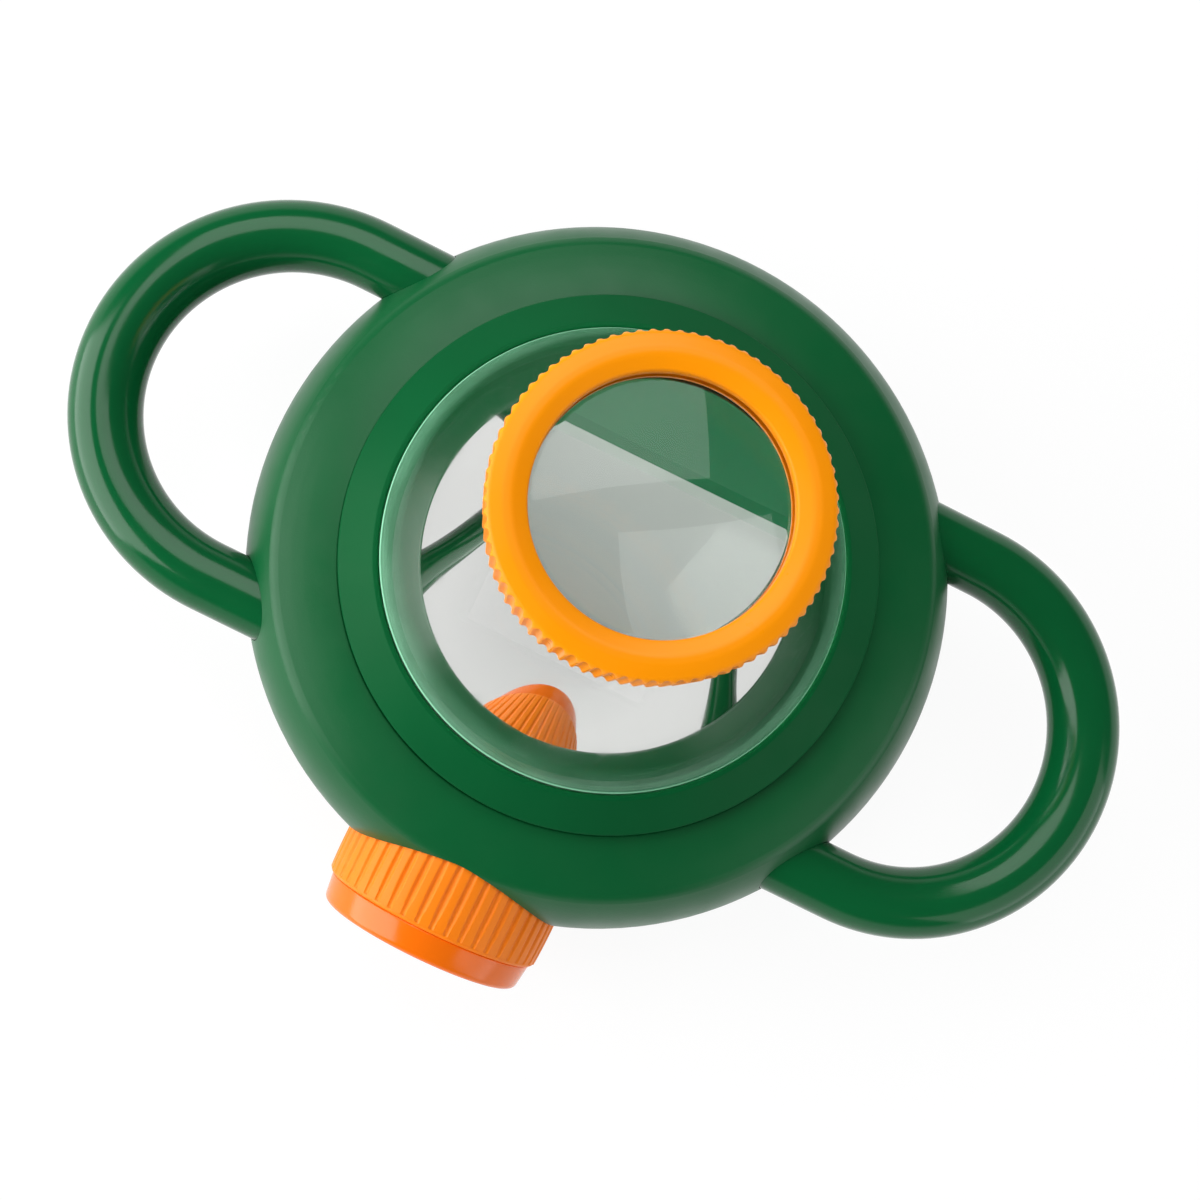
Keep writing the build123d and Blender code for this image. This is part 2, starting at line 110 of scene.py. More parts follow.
towards = Vector(
    (math.sin(tilt) * math.cos(swing), math.sin(tilt) * math.sin(swing), math.cos(tilt))
)
right = (-towards).cross(picture_up).normalized()
up = right.cross(-towards)
right, up = (
    right * math.cos(roll) + up * math.sin(roll),
    up * math.cos(roll) - right * math.sin(roll),
)
camera = bpy.data.objects.new("camera", bpy.data.cameras.new("camera"))
bpy.context.collection.objects.link(camera)
camera.data.lens = focal_length
camera.data.sensor_width = sensor_width
camera.data.clip_start = nearest_shown * MM
turn = Matrix((right, up, towards)).transposed().to_4x4()
camera.matrix_world = Matrix.Translation((look_at + towards * camera_distance) * MM) @ turn
bpy.context.scene.camera = camera
print("camera at", [round(value, 4) for value in camera.location])

# %% [markdown]
# ## Node helpers
# Each finish is a small tree of shader nodes. These helpers add one node and link it, so that the
# cells below say what a finish is made of. An end of a node is a plain number or another node's socket.


# %% Helpers that add nodes
def new_material(name):
    """A node material with an empty tree and an output node."""
    material = bpy.data.materials.new(name)
    material.use_nodes = True
    tree = material.node_tree
    tree.nodes.clear()
    return material, tree, tree.nodes.new("ShaderNodeOutputMaterial")


def set_ends(tree, node, names, ends):
    """Sets each named input of a node to a number, or links it to a socket."""
    for name, end in zip(names, ends):
        if isinstance(end, (int, float)):
            node.inputs[name].default_value = end
        else:
            tree.links.new(end, node.inputs[name])


def add_noise(tree, coordinate, scale, detail=2.0):
    """A noise texture on a coordinate socket, returning its value socket."""
    noise = tree.nodes.new("ShaderNodeTexNoise")
    noise.inputs["Scale"].default_value = scale
    noise.inputs["Detail"].default_value = detail
    tree.links.new(coordinate, noise.inputs["Vector"])
    return noise.outputs[0]


def add_range(tree, value, low, high, to_low, to_high, blend="LINEAR"):
    """Maps a value from one range to another."""
    node = tree.nodes.new("ShaderNodeMapRange")
    node.interpolation_type = blend
    names = ("Value", "From Min", "From Max", "To Min", "To Max")
    set_ends(tree, node, names, (value, low, high, to_low, to_high))
    return node.outputs[0]


def add_math(tree, operation, first, second):
    """A math node on two ends."""
    node = tree.nodes.new("ShaderNodeMath")
    node.operation = operation
    set_ends(tree, node, (0, 1), (first, second))
    return node.outputs[0]


def add_mix(tree, share, first, second):
    """Two shaders mixed by a share, which is the part of the second one."""
    node = tree.nodes.new("ShaderNodeMixShader")
    set_ends(tree, node, (0, 1, 2), (share, first, second))
    return node.outputs[0]


print("node helpers ready")

# %% [markdown]
# ## Table
# The table is white paper. Towards the camera it mixes in a large share of emission, so the ground of
# the picture is an even white, and the share that is left keeps a faint shadow. Light that bounces off
# it onto the object sees plain paper. It lies a hair below the bottom, so the two faces don't coincide.


# %% Lay the table
def seen_share(tree):
    """A socket that is 1 on camera, glossy and transmission rays."""
    path = tree.nodes.new("ShaderNodeLightPath")
    total = path.outputs["Is Camera Ray"]
    for name in ("Is Glossy Ray", "Is Transmission Ray"):
        total = add_math(tree, "MAXIMUM", total, path.outputs[name])
    return total


scene = bpy.context.scene
scene.view_settings.view_transform = "Standard"

table_half = 3.0
table_gap = 0.1 * MM
paper_white = (0.86, 0.86, 0.86, 1)
glow_white = (1, 1, 1, 1)
glow_strength = 1.03
table_glow = 0.9
table_corners = ((-1, -1), (1, -1), (1, 1), (-1, 1))

table_mesh = bpy.data.meshes.new("table")
table_mesh.from_pydata(
    [(x * table_half, y * table_half, -table_gap) for x, y in table_corners],
    [],
    [(0, 1, 2, 3)],
)
table = bpy.data.objects.new("table", table_mesh)
bpy.context.collection.objects.link(table)

table_material, tree, output = new_material("table_white")
paper = tree.nodes.new("ShaderNodeBsdfDiffuse")
paper.inputs["Color"].default_value = paper_white
glow = tree.nodes.new("ShaderNodeEmission")
glow.inputs["Color"].default_value = glow_white
glow.inputs["Strength"].default_value = glow_strength
share = add_math(tree, "MULTIPLY", seen_share(tree), table_glow)
mixed = add_mix(tree, share, paper.outputs[0], glow.outputs[0])
tree.links.new(mixed, output.inputs["Surface"])
table_mesh.materials.append(table_material)
print("table:", table_material.name)

# %% [markdown]
# ## World
# The world is bright near the horizon and dim overhead. The dim sky keeps the green deep where the
# body faces up, and the bright horizon gives the pale edge where the body curves away. The height of a
# direction runs from 0 at the horizon to 1 overhead.

# %% Light the world
sky_colour = (0.95, 0.98, 1.0, 1)
horizon_light = 1.0
sky_light = 0.08
horizon_until = 0.1
sky_from = 0.36

world = bpy.data.worlds.new("studio")
scene.world = world
world.use_nodes = True
tree = world.node_tree
tree.nodes.clear()
background = tree.nodes.new("ShaderNodeBackground")
background.inputs["Color"].default_value = sky_colour
coordinate = tree.nodes.new("ShaderNodeTexCoord")
split = tree.nodes.new("ShaderNodeSeparateXYZ")
tree.links.new(coordinate.outputs["Generated"], split.inputs[0])
height = split.outputs["Z"]
light = add_range(tree, height, horizon_until, sky_from, horizon_light, sky_light, "SMOOTHSTEP")
output = tree.nodes.new("ShaderNodeOutputWorld")
tree.links.new(light, background.inputs["Strength"])
tree.links.new(background.outputs[0], output.inputs["Surface"])
print("world:", world.name)

# %% [markdown]
# ## Soft boxes
# Three square lamps face the object: a strong key from the left of the picture, one from its top, and
# a weak one from the lower right, which draws the highlights on the right handle and the eyepiece. Each
# is placed by its direction in the picture and its angle from straight overhead.

# %% Hang the lamps
lamp_distance = 0.9
picture_right = Vector((0.895, 0.446, 0.0))


def softbox(name, across, upwards, from_zenith, size, power):
    """A square area lamp that faces the object, placed by its direction in the picture."""
    lamp = bpy.data.lights.new(name, "AREA")
    lamp.shape = "SQUARE"
    lamp.size = size
    lamp.energy = power
    holder = bpy.data.objects.new(name, lamp)
    bpy.context.collection.objects.link(holder)
    level = (across * picture_right + upwards * picture_up).normalized()
    lean = math.radians(from_zenith)
    target = look_at * MM
    place = target + lamp_distance * (level * math.sin(lean) + Vector((0, 0, math.cos(lean))))
    holder.location = place
    holder.rotation_mode = "QUATERNION"
    holder.rotation_quaternion = (target - place).to_track_quat("-Z", "Y")


softbox("softbox_key", across=-1.0, upwards=0.05, from_zenith=65, size=0.9, power=11.2)
softbox("softbox_top", across=-0.12, upwards=1.0, from_zenith=31, size=0.62, power=3.9)
softbox("softbox_low", across=0.8, upwards=-0.6, from_zenith=66, size=0.75, power=2.6)

# %% [markdown]
# ## Shared surface effects
# Moulded plastic is never one flat colour: the tone drifts a little over the part, a fine grain from
# the mould scatters the gloss, and handling leaves faint rubbed patches. One node group makes all of
# this from the piece's own coordinates, and each material sets its own amounts. A noise of scale 38 has
# about 38 clouds to the metre, and most of its values lie between 0.3 and 0.7.

# %% The moulded surface group
FLOAT, COLOUR = "NodeSocketFloat", "NodeSocketColor"
cloud_scale = 38.0
rub_scale = 140.0
grain_scale = 2600.0
noise_low, noise_high = 0.3, 0.7


def new_group(name, inputs, outputs):
    """A shader node group with the given named sockets."""
    group = bpy.data.node_groups.new(name, "ShaderNodeTree")
    for label, kind, value in inputs:
        socket = group.interface.new_socket(label, in_out="INPUT", socket_type=kind)
        socket.default_value = value
    for label, kind in outputs:
        group.interface.new_socket(label, in_out="OUTPUT", socket_type=kind)
    return group, group.nodes.new("NodeGroupInput"), group.nodes.new("NodeGroupOutput")


moulded, given, result = new_group(
    "moulded_surface",
    [
        ("Colour", COLOUR, (0.5, 0.5, 0.5, 1)),
        ("Tone Drift", FLOAT, 0.08),
        ("Roughness", FLOAT, 0.3),
        ("Roughness Spread", FLOAT, 0.06),
    ],
    [("Colour", COLOUR), ("Roughness", FLOAT), ("Grain", FLOAT)],
)
place = moulded.nodes.new("ShaderNodeTexCoord").outputs["Object"]
clouds = add_noise(moulded, place, cloud_scale, 3.0)
rubs = add_noise(moulded, place, rub_scale, 4.0)
grain = add_noise(moulded, place, grain_scale)
drift = given.outputs["Tone Drift"]
drift_low = add_math(moulded, "SUBTRACT", 1.0, drift)
drift_high = add_math(moulded, "ADD", 1.0, drift)
tone = add_range(moulded, clouds, noise_low, noise_high, drift_low, drift_high)
shade = moulded.nodes.new("ShaderNodeVectorMath")
shade.operation = "SCALE"
moulded.links.new(given.outputs["Colour"], shade.inputs[0])
moulded.links.new(tone, shade.inputs["Scale"])
moulded.links.new(shade.outputs[0], result.inputs["Colour"])
spread = given.outputs["Roughness Spread"]
rough_low = add_math(moulded, "SUBTRACT", given.outputs["Roughness"], spread)
rough_high = add_math(moulded, "ADD", given.outputs["Roughness"], spread)
rough = add_range(moulded, rubs, noise_low, noise_high, rough_low, rough_high)
moulded.links.new(rough, result.inputs["Roughness"])
moulded.links.new(grain, result.inputs["Grain"])
print("group:", moulded.name)

# %% [markdown]
# ## Plastic finishes
# One recipe gives all the opaque plastics. The body is satin green with a fine grain, the collar is
# nearly the same green with less gloss, and the handles are this green from a polished mould. The
# oranges differ in hue: the lid is yellower than the eyepiece, and the eyepiece's cup is redder and
# glossier than its ribbed grip.

# %% Green, orange and dark plastics
grain_strength = 0.5


def plastic(name, colour, roughness, spread, drift, grain_depth, specular):
    """A moulded plastic: the shared group drives colour, roughness and grain."""
    material, tree, output = new_material(name)
    shader = tree.nodes.new("ShaderNodeBsdfPrincipled")
    shader.inputs["Specular IOR Level"].default_value = specular
    surface = tree.nodes.new("ShaderNodeGroup")
    surface.node_tree = moulded
    surface.inputs["Colour"].default_value = (*colour, 1)
    surface.inputs["Tone Drift"].default_value = drift
    surface.inputs["Roughness"].default_value = roughness
    surface.inputs["Roughness Spread"].default_value = spread
    bump = tree.nodes.new("ShaderNodeBump")
    bump.inputs["Strength"].default_value = grain_strength
    bump.inputs["Distance"].default_value = grain_depth * MM
    tree.links.new(surface.outputs["Colour"], shader.inputs["Base Color"])
    tree.links.new(surface.outputs["Roughness"], shader.inputs["Roughness"])
    tree.links.new(surface.outputs["Grain"], bump.inputs["Height"])
    tree.links.new(bump.outputs[0], shader.inputs["Normal"])
    tree.links.new(shader.outputs[0], output.inputs["Surface"])
    return material


# After the colour: roughness, its spread, tone drift, grain depth in mm and specular level.
satin_green = plastic("satin_green", (0.002, 0.1, 0.027), 0.34, 0.04, 0.04, 0.025, 0.25)
collar_green = plastic("collar_green", (0.0018, 0.092, 0.025), 0.42, 0.05, 0.05, 0.02, 0.05)
carrier_green = plastic("carrier_green", (0.007, 0.15, 0.055), 0.4, 0.05, 0.05, 0.02, 0.3)
gloss_green = plastic("gloss_green", (0.002, 0.1, 0.027), 0.15, 0.03, 0.05, 0.004, 0.3)
lid_orange = plastic("lid_orange", (1.0, 0.31, 0.001), 0.32, 0.05, 0.03, 0.015, 0.17)
grip_orange = plastic("grip_orange", (1.0, 0.235, 0.006), 0.42, 0.05, 0.04, 0.02, 0.2)
cup_orange = plastic("cup_orange", (0.93, 0.165, 0.002), 0.18, 0.03, 0.03, 0.004, 0.36)
sleeve_black = plastic("sleeve_black", (0.015, 0.015, 0.016), 0.5, 0.08, 0.1, 0.02, 0.4)
seal_rubber = plastic("seal_rubber", (0.03, 0.03, 0.03), 0.65, 0.08, 0.12, 0.03, 0.3)
print("plastics made")

# %% [markdown]
# ## Wipe marks
# Polished surfaces carry faint wipe marks, drawn out along the height. A second group turns a stretched
# noise into roughness between two limits, and the clear and silvery finishes share it.

# %% The wipe marks group
wipe_scale = 170.0
wipe_stretch = (1.0, 1.0, 0.25)
wipe_from, wipe_to = 0.45, 0.75

wiped, given, result = new_group(
    "wipe_marks",
    [("Least", FLOAT, 0.01), ("Most", FLOAT, 0.06)],
    [("Roughness", FLOAT)],
)
place = wiped.nodes.new("ShaderNodeTexCoord").outputs["Object"]
stretch = wiped.nodes.new("ShaderNodeVectorMath")
stretch.operation = "MULTIPLY"
stretch.inputs[1].default_value = wipe_stretch
wiped.links.new(place, stretch.inputs[0])
smear = add_noise(wiped, stretch.outputs[0], wipe_scale, 4.0)
marks = add_range(wiped, smear, wipe_from, wipe_to, given.outputs["Least"], given.outputs["Most"])
wiped.links.new(marks, result.inputs["Roughness"])
print("group:", wiped.name)

# %% [markdown]
# ## Clear plastic
# The clear cone is seen from above at a grazing angle, where clear plastic turns into a mirror: it
# shows the table, the eyepiece and the handles around it. Layer Weight mixes that sheen in at steep
# angles only, so that the cone is plain clear from the side. Lamps see the clear parts as thin
# tinted film, so that light reaches the inside. At the cone's foot a pale green diffuse is mixed in as a
# painted reflection of the green body round it, with a painted highlight line on its rim. Both are
# strongest where one looks along the wall, so they are faint from the side.

# %% Clear cone, floor and lens
steep_from, steep_to = 0.36, 0.62
sheen_colour = (0.76, 0.765, 0.75, 1)
painted_reflection_colour = (0.35, 0.78, 0.51, 1)
painted_share_from_side = 0.12
highlight_full, highlight_end, reflection_end = 1.0, 1.8, 13.0
streak_scale = 90.0
streak_least, streak_most = 0.6, 1.2


def painted_foot_share(tree, level, highlight_share, reflection_share):
    """A share of painted highlight on the rim at a level (mm), and of painted reflection that fades out
    above it.
    """
    split = tree.nodes.new("ShaderNodeSeparateXYZ")
    place = tree.nodes.new("ShaderNodeTexCoord").outputs["Object"]
    tree.links.new(place, split.inputs[0])
    height = split.outputs["Z"]
    # Painted highlight: a bright line on the cone's rim. Painted reflection: a band that fades out above
    # it, broken into streaks.
    painted_rim_highlight = add_range(tree, height, (level + highlight_full) * MM, (level + highlight_end) * MM, highlight_share, 0.0)
    painted_band = add_range(tree, height, level * MM, (level + reflection_end) * MM, reflection_share, 0.0)
    noise = add_noise(tree, place, streak_scale, 3.0)
    streaks = add_range(tree, noise, noise_low, noise_high, streak_least, streak_most)
    return add_math(tree, "MAXIMUM", painted_rim_highlight, add_math(tree, "MULTIPLY", painted_band, streaks))


def clear(name, tint, index, sheen, marks_most, painted_foot=None):
    """A clear plastic with a mirror sheen at steep angles, which lets the lamps through."""
    material, tree, output = new_material(name)
    glass = tree.nodes.new("ShaderNodeBsdfPrincipled")
    glass.inputs["Base Color"].default_value = (*tint, 1)
    glass.inputs["Transmission Weight"].default_value = 1.0
    glass.inputs["IOR"].default_value = index
    surface = tree.nodes.new("ShaderNodeGroup")
    surface.node_tree = wiped
    surface.inputs["Least"].default_value = 0.0
    surface.inputs["Most"].default_value = marks_most
    tree.links.new(surface.outputs["Roughness"], glass.inputs["Roughness"])
    weight = tree.nodes.new("ShaderNodeLayerWeight")
    weight.inputs["Blend"].default_value = 0.5
    facing = weight.outputs["Facing"]
    steep = add_range(tree, facing, steep_from, steep_to, 0.0, sheen)
    gloss = tree.nodes.new("ShaderNodeBsdfAnisotropic")
    gloss.inputs["Color"].default_value = sheen_colour
    tree.links.new(surface.outputs["Roughness"], gloss.inputs["Roughness"])
    body = add_mix(tree, steep, glass.outputs[0], gloss.outputs[0])
    # Painted reflection and highlight: a lit pale green diffuse at the foot stands in for the green body
    # reflected in the wall.
    if painted_foot:
        painted_reflection = tree.nodes.new("ShaderNodeBsdfDiffuse")
        painted_reflection.inputs["Color"].default_value = painted_reflection_colour
        along_wall = add_range(tree, facing, steep_from, steep_to, painted_share_from_side, 1.0)
        painted_share = add_math(tree, "MULTIPLY", painted_foot_share(tree, *painted_foot), along_wall)
        body = add_mix(tree, painted_share, body, painted_reflection.outputs[0])
    film = tree.nodes.new("ShaderNodeBsdfTransparent")
    film.inputs["Color"].default_value = (*tint, 1)
    path = tree.nodes.new("ShaderNodeLightPath")
    lit = add_mix(tree, path.outputs["Is Shadow Ray"], body, film.outputs[0])
    tree.links.new(lit, output.inputs["Surface"])
    return material


# After the tint: index, sheen and roughest mark, then the painted reflection's level, the painted
# highlight share on the rim and the painted reflection share above it.
clear_cone = clear("clear_cone", (0.94, 0.97, 0.95), 1.5, 0.85, 0.08, (collar_top, 0.8, 0.27))
clear_floor = clear("clear_floor", (0.95, 0.97, 0.96), 1.5, 0.5, 0.04)
clear_lens = clear("clear_lens", (0.96, 0.98, 0.97), 1.35, 0.4, 0.02)
print("clear finishes made")

# %% [markdown]
# ## Mirror and steel
# The mirror is mostly a diffuse light grey: a painted reflection that gives the even grey field seen
# through the lens.
# The screws are bright metal.


# %% Silvery finishes
def bright_metal(name, colour, roughness, metallic):
    """A silvery surface with wipe marks in its roughness; less metallic is more like foil."""
    material, tree, output = new_material(name)
    shader = tree.nodes.new("ShaderNodeBsdfPrincipled")
    shader.inputs["Base Color"].default_value = (*colour, 1)
    shader.inputs["Metallic"].default_value = metallic
    surface = tree.nodes.new("ShaderNodeGroup")
    surface.node_tree = wiped
    surface.inputs["Least"].default_value = roughness
    surface.inputs["Most"].default_value = roughness * 2
    tree.links.new(surface.outputs["Roughness"], shader.inputs["Roughness"])
    tree.links.new(shader.outputs[0], output.inputs["Surface"])
    return material


# The mirror's light grey is a painted reflection of the bright field it shows through the lens.
mirror_silver = bright_metal("mirror_silver", (0.7, 0.675, 0.67), roughness=0.4, metallic=0.1)
screw_steel = bright_metal("screw_steel", (0.58, 0.58, 0.6), roughness=0.25, metallic=1.0)
print("silvery finishes made")

# %% [markdown]
# ## Turned pieces
# Most of the object is turned: a section swept once round an axis. One helper turns a closed section,
# whose corners are rounded first, so that every edge catches light as a moulded edge does. The
# section is written as corners with a radius each, in millimetres.

# %% Helpers that turn a section
on_axis = 1e-6
sharp_angle = math.radians(40)


def rounded(corners, steps=5):
    """The section's points, each corner (radius, height, rounding) replaced by an arc."""
    points = []
    for index, (x, y, rounding) in enumerate(corners):
        here = Vector((x, y))
        if rounding == 0:
            points.append(here)
            continue
        before = Vector(corners[index - 1][:2]) - here
        after = Vector(corners[(index + 1) % len(corners)][:2]) - here
        half = before.angle(after) / 2
        reach = rounding / math.tan(half)
        start = here + before.normalized() * reach
        end = here + after.normalized() * reach
        middle = (before.normalized() + after.normalized()).normalized()
        centre = here + middle * rounding / math.sin(half)
        first = start - centre
        sweep = first.angle_signed(end - centre)
        for step in range(steps + 1):
            points.append(centre + Matrix.Rotation(-sweep * step / steps, 2) @ first)
    return points


def arc(centre, radius, first, last, steps):
    """Points of a section's arc between two turns, in degrees from the radius axis."""
    turns = [math.radians(first + (last - first) * step / steps) for step in range(steps + 1)]
    return [Vector((centre[0] + radius * math.cos(t), centre[1] + radius * math.sin(t))) for t in turns]


def supported(section, longest=4.0, margin=0.15):
    """The section with extra points on its long straight runs, so that rounded ends don't tilt them."""
    points = []
    for here, there in zip(section, section[1:] + section[:1]):
        points.append(here)
        run = there - here
        if run.length > longest:
            count = math.ceil(run.length / longest)
            edge = margin / run.length
            shares = [edge, *(i / count for i in range(1, count)), 1 - edge]
            points += [here + run * share for share in shares]
    return points


def upright(radius, height, turn):
    """A point about the jar's own axis."""
    return (radius * math.cos(turn), radius * math.sin(turn), height)


def forward(radius, reach, turn):
    """A point about the eyepiece's axis, which runs out along -Y."""
    return (radius * math.cos(turn), -reach, eye_height + radius * math.sin(turn))


def bridge(form, here, there):
    """Faces between two rings of points; where a ring is a single point they are triangles."""
    count = len(here)
    for index in range(count):
        after = (index + 1) % count
        corners = [here[index], here[after], there[after], there[index]]
        distinct = list(dict.fromkeys(corners))
        if len(distinct) > 2:
            form.faces.new(distinct)


def smooth_mesh(name, form):
    """The mesh of a finished form, shaded smooth except over sharp edges."""
    bmesh.ops.recalc_face_normals(form, faces=form.faces)
    mesh = bpy.data.meshes.new(name)
    form.to_mesh(mesh)
    form.free()
    mesh.polygons.foreach_set("use_smooth", [True] * len(mesh.polygons))
    mesh.set_sharp_from_angle(angle=sharp_angle)
    return mesh


def turned(name, section, place=upright, count=256, groove=None):
    """A mesh of a closed section turned about an axis; groove(radius, turn) may cut into it."""
    form = bmesh.new()
    rings = []
    for point in supported(section):
        radius, along = point
        if radius < on_axis:
            rings.append([form.verts.new(Vector(place(0, along, 0)) * MM)] * count)
            continue
        ring = []
        for index in range(count):
            turn = 2 * math.pi * index / count
            cut = groove(radius, turn) if groove else radius
            ring.append(form.verts.new(Vector(place(cut, along, turn)) * MM))
        rings.append(ring)
    for here, there in zip(rings, rings[1:] + rings[:1]):
        bridge(form, here, there)
    return smooth_mesh(name, form)


def show(name, mesh, material, body, slot, *replaced):
    """Links a finished mesh as a piece that stands for CAD nodes."""
    piece = bpy.data.objects.new(name, mesh)
    bpy.context.collection.objects.link(piece)
    mesh.materials.clear()
    mesh.materials.append(material)
    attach(piece, body)
    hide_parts(*replaced)
    print(f"{name}: {len(mesh.polygons)} faces")


print("turning helpers ready")

# %% [markdown]
# ## Handles
# Each handle is a round tube bent into a loop, with its two straight legs in the body's sockets. It is
# swept as rings of points along the path, because a ring can be kept square to the path at each step.

# %% Sweep the two handles
loop_radius = span("handle_right", Y)[1] - tube_radius
inner_end, outer_end = span("handle_right", X)
arc_start = outer_end - tube_radius - loop_radius


def handle_mesh(name, side, around=64, bend_steps=72):
    """A tube along a leg, a half circle and the other leg."""
    path = [(inner_end, loop_radius, 0.0)]
    for step in range(bend_steps + 1):
        turn = math.pi * step / bend_steps
        x = arc_start + loop_radius * math.sin(turn)
        path.append((x, loop_radius * math.cos(turn), turn))
    path.append((inner_end, -loop_radius, math.pi))
    form = bmesh.new()
    rings = []
    for x, y, turn in path:
        outward = Vector((math.sin(turn), math.cos(turn), 0))
        ring = []
        for index in range(around):
            angle = 2 * math.pi * index / around
            point = Vector((x, y, equator)) + tube_radius * (
                outward * math.cos(angle) + Vector((0, 0, math.sin(angle)))
            )
            ring.append(form.verts.new(Vector((side * point.x, point.y, point.z)) * MM))
        rings.append(ring)
    for here, there in zip(rings, rings[1:]):
        bridge(form, here, there)
    form.faces.new(rings[0])
    form.faces.new(rings[-1])
    return smooth_mesh(name, form)


for side, word in ((-1, "left"), (1, "right")):
    mesh = handle_mesh(f"loop_{word}", side)
    show(f"loop_{word}", mesh, gloss_green, "base", "handle_green", f"handle_{word}")

# %% [markdown]
# ## Collar
# The collar is a separate green ring that clamps the clear cone's flange. Its outer edge is rounded,
# and its top slopes up to a thin lip beside the cone.

# %% Turn the collar
collar_rise = 4.7
lip_overlap = 1.9
lip_width = 0.9
collar_gap = 0.3
clamp_height = 2.45
collar_edge = collar_top - collar_rise
lip_radius = flange_radius - lip_overlap
collar_bore = flange_radius + collar_gap
clamp = flange_bottom + clamp_height
section = rounded(
    [
        (collar_bore, ledge, 0.2),
        (collar_radius, ledge, 0.2),
        (collar_radius, collar_edge, 0.8),
        (lip_radius + lip_width, collar_top, 0.4),
        (lip_radius, collar_top, 0.3),
        (lip_radius, clamp, 0.1),
        (collar_bore, clamp, 0.1),
    ]
)
show("collar", turned("collar", section, count=320), collar_green, "base", "body_green", "jar_collar")

# %% [markdown]
# ## Clear cone
# The jar is one clear moulding with a flange, a short rounded foot, a straight cone and a neck that
# the lid pushes onto. Its wall is measured square to the cone, so it is wider along the radius.

# %% Turn the cone
flange_width = 2.2
foot_rise = 0.6
cone_turn = math.radians(22.0)
wall_thickness = 2.2
neck_length = 9.5
neck_radius = 21.6
neck_bore = 20.0
shoulder_width = 1.4
clamp_gap = 0.05
flange_top = clamp - clamp_gap
foot_radius = flange_radius - flange_width
foot_top = collar_top + foot_rise
cone_top = neck_top - neck_length
cone_top_radius = neck_radius + shoulder_width
cone_wall = wall_thickness / math.cos(cone_turn)
section = rounded(
    [
        (flange_radius, flange_bottom, 0.3),
        (flange_radius, flange_top, 0.3),
        (foot_radius, flange_top, 0.3),
        (foot_radius, foot_top, 1.4),
        (cone_top_radius, cone_top, 0.5),
        (neck_radius, cone_top, 0.3),
        (neck_radius, neck_top, 0.4),
        (neck_bore, neck_top, 0.4),
        (neck_bore, cone_top, 0.3),
        (cone_top_radius - cone_wall, cone_top, 0.2),
        (foot_radius - cone_wall, foot_top, 1.4),
        (foot_radius - cone_wall, flange_bottom, 0.3),
    ],
    steps=6,
)
show("cone", turned("cone", section, count=256), clear_cone, "base", "clear_plastic", "jar")

# %% [markdown]
# ## Lens lid
# The lid's ring has a crowned top and eighty small scallops round its edge for grip. They are cut while
# the section is turned: near the outer radius each point moves in by the depth of a round-bottomed
# groove. The lens has a flat rim and a crown on both faces.


# %% Turn the lid ring and its lens
def scallops(count, outer, radius, depth):
    """A groove function: round-bottomed cuts of the given depth, evenly spaced."""
    centre = outer + radius - depth

    def groove(here, turn):
        pitch = 2 * math.pi / count
        offset = (turn + pitch / 2) % pitch - pitch / 2
        across = centre * math.sin(offset)
        if abs(across) >= radius:
            return here
        return min(here, centre * math.cos(offset) - math.sqrt(radius**2 - across**2))

    return groove


def lens_section(radius, window, back, front, crown):
    """Half of a lens with a flat rim and a crown on both faces; back and front are the rim's."""
    bow = (window**2 + crown**2) / (2 * crown)
    half = math.degrees(math.asin(window / bow))
    top = arc((0, front + crown - bow), bow, 90 - half, 90, 24)
    under = arc((0, back - crown + bow), bow, -90, half - 90, 24)
    top[-1].x = 0
    under[0].x = 0
    return [Vector((radius, back)), Vector((radius, front))] + top + under


lid_gap = 0.3
lens_rim = 2.2
lens_crown = 1.9
seat_depth = 2.5
outer_drop, outer_slope = 0.55, 2.6
inner_drop, inner_slope = 0.8, 2.2
lid_bore = neck_radius + lid_gap
lens_window = lens_radius - lens_rim
lid_seat = lid_top - seat_depth
section = rounded(
    [
        (lid_bore, lid_bottom, 0.3),
        (lid_radius, lid_bottom, 0.4),
        (lid_radius, lid_top - outer_drop, 1.3),
        (lid_radius - outer_slope, lid_top, 3.0),
        (lens_window + inner_slope, lid_top, 3.0),
        (lens_window, lid_top - inner_drop, 0.6),
        (lens_window, lid_seat, 0.2),
        (lid_bore, lid_seat, 0.2),
    ],
    steps=8,
)
lid_grip = scallops(count=80, outer=lid_radius, radius=0.75, depth=0.5)
mesh = turned("lid_ring", section, count=960, groove=lid_grip)
show("lid_ring", mesh, lid_orange, "lid", "lid_orange", "lens_ring")

lens_back = lens_low + lens_crown
lens_front = lens_high - lens_crown
section = lens_section(lens_radius, lens_window, lens_back, lens_front, lens_crown)
mesh = turned("lid_lens", section, count=192)
show("lid_lens", mesh, clear_lens, "lid", "lens_clear", "magnifier_lens")

# %% [markdown]
# ## Eyepiece ring
# The ribbed ring has forty-eight narrow grooves and a slight crown, so its outline swells in the
# middle. The crown's arc ends a little before the front, where a rounded edge takes over. The back has
# a pocket for the flange of the sleeve that the ring turns on.

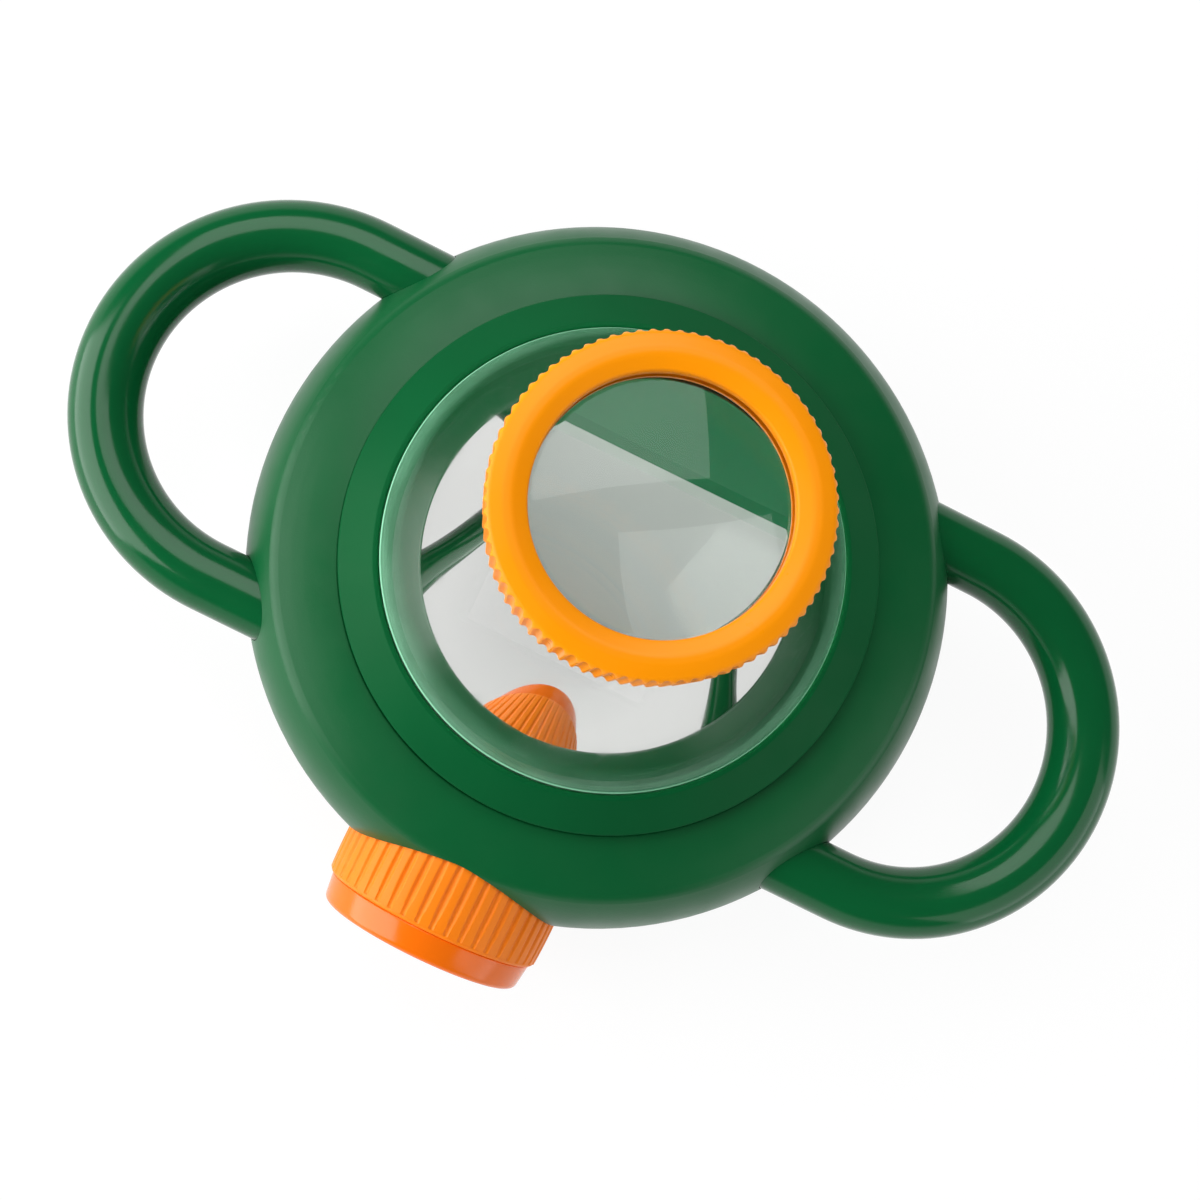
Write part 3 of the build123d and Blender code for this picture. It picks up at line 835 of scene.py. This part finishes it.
# %% Turn the ribbed ring
grip_crown = 0.3
crown_share = 0.9
grip_bore = 15.9
bore_radius = 13.8
front_wall = 1.8
flange_pocket = 20.5
pocket_depth = 1.2
wall_back = grip_front - front_wall
pocket_floor = grip_back + pocket_depth
grip_middle = (grip_back + grip_front) / 2
grip_half = grip_middle - grip_back
swell = (grip_half**2 + grip_crown**2) / (2 * grip_crown)
lean = math.degrees(math.asin(grip_half / swell))
crown_line = arc((grip_radius - swell, grip_middle), swell, -lean, lean * crown_share, 24)
section = crown_line + rounded(
    [
        (grip_radius - grip_crown, grip_front, 0.9),
        (bore_radius, grip_front, 0.2),
        (bore_radius, wall_back, 0.2),
        (grip_bore, wall_back, 0.1),
        (grip_bore, pocket_floor, 0.1),
        (flange_pocket, pocket_floor, 0.1),
        (flange_pocket, grip_back, 0.2),
    ]
)
grip_grooves = scallops(count=48, outer=grip_radius, radius=0.6, depth=0.5)
mesh = turned("grip_ring", section, forward, 768, grip_grooves)
show("grip_ring", mesh, grip_orange, "eyepiece_grip", "eyepiece_orange", "eyepiece_ring")

# %% [markdown]
# ## Eyepiece cup
# The smooth cup in front of the ring tapers a little and ends in a rounded rim with a dished face. The
# eye lens sits behind a stop inside it.

# %% Turn the cup and the eye lens
cup_taper = math.radians(8.0)
cup_dish = 1.4
eye_rim = 1.1
eye_crown = 1.2
lens_gap = 0.1
tip_radius = cup_radius - (cup_front - grip_front) * math.tan(cup_taper)
cup_bore = eye_lens_radius + lens_gap
eye_window = eye_lens_radius - eye_rim
rim_back = eye_back + eye_crown
rim_front = eye_front - eye_crown
lens_stop = rim_front + lens_gap
section = rounded(
    [
        (cup_bore, grip_front, 0.1),
        (cup_radius, grip_front, 0.3),
        (tip_radius, cup_front, 1.3),
        (eye_window, cup_front - cup_dish, 0.4),
        (eye_window, lens_stop, 0.1),
        (cup_bore, lens_stop, 0.1),
    ],
    steps=8,
)
mesh = turned("eye_cup", section, forward, 256)
show("eye_cup", mesh, cup_orange, "eyepiece_grip", "eyepiece_orange", "eyepiece_cup")

section = lens_section(eye_lens_radius, eye_window, rim_back, rim_front, eye_crown)
mesh = turned("eye_lens", section, forward, 128)
show("eye_lens", mesh, clear_lens, "eyepiece_optics", "lens_clear", "eyepiece_lens")

# %% [markdown]
# ## Pieces that keep their CAD form
# The body, the flat pieces and the hidden ones are already right: they only need their finish.

# %% Dress the other nodes
finishes = {
    "base_shell": satin_green,
    "base_plate": satin_green,
    "mirror_carrier": carrier_green,
    "mirror": mirror_silver,
    "base_screws": screw_steel,
    "carrier_screws": screw_steel,
    "collar_screws": screw_steel,
    "floor_seal": seal_rubber,
    "floor_window": clear_floor,
    "lens_retainer": lid_orange,
    "lid_gasket": seal_rubber,
    "eyepiece_socket": sleeve_black,
    "eyepiece_retainer": sleeve_black,
}
for name, material in finishes.items():
    nodes[name].data.materials.clear()
    nodes[name].data.materials.append(material)
print("dressed:", len(finishes))
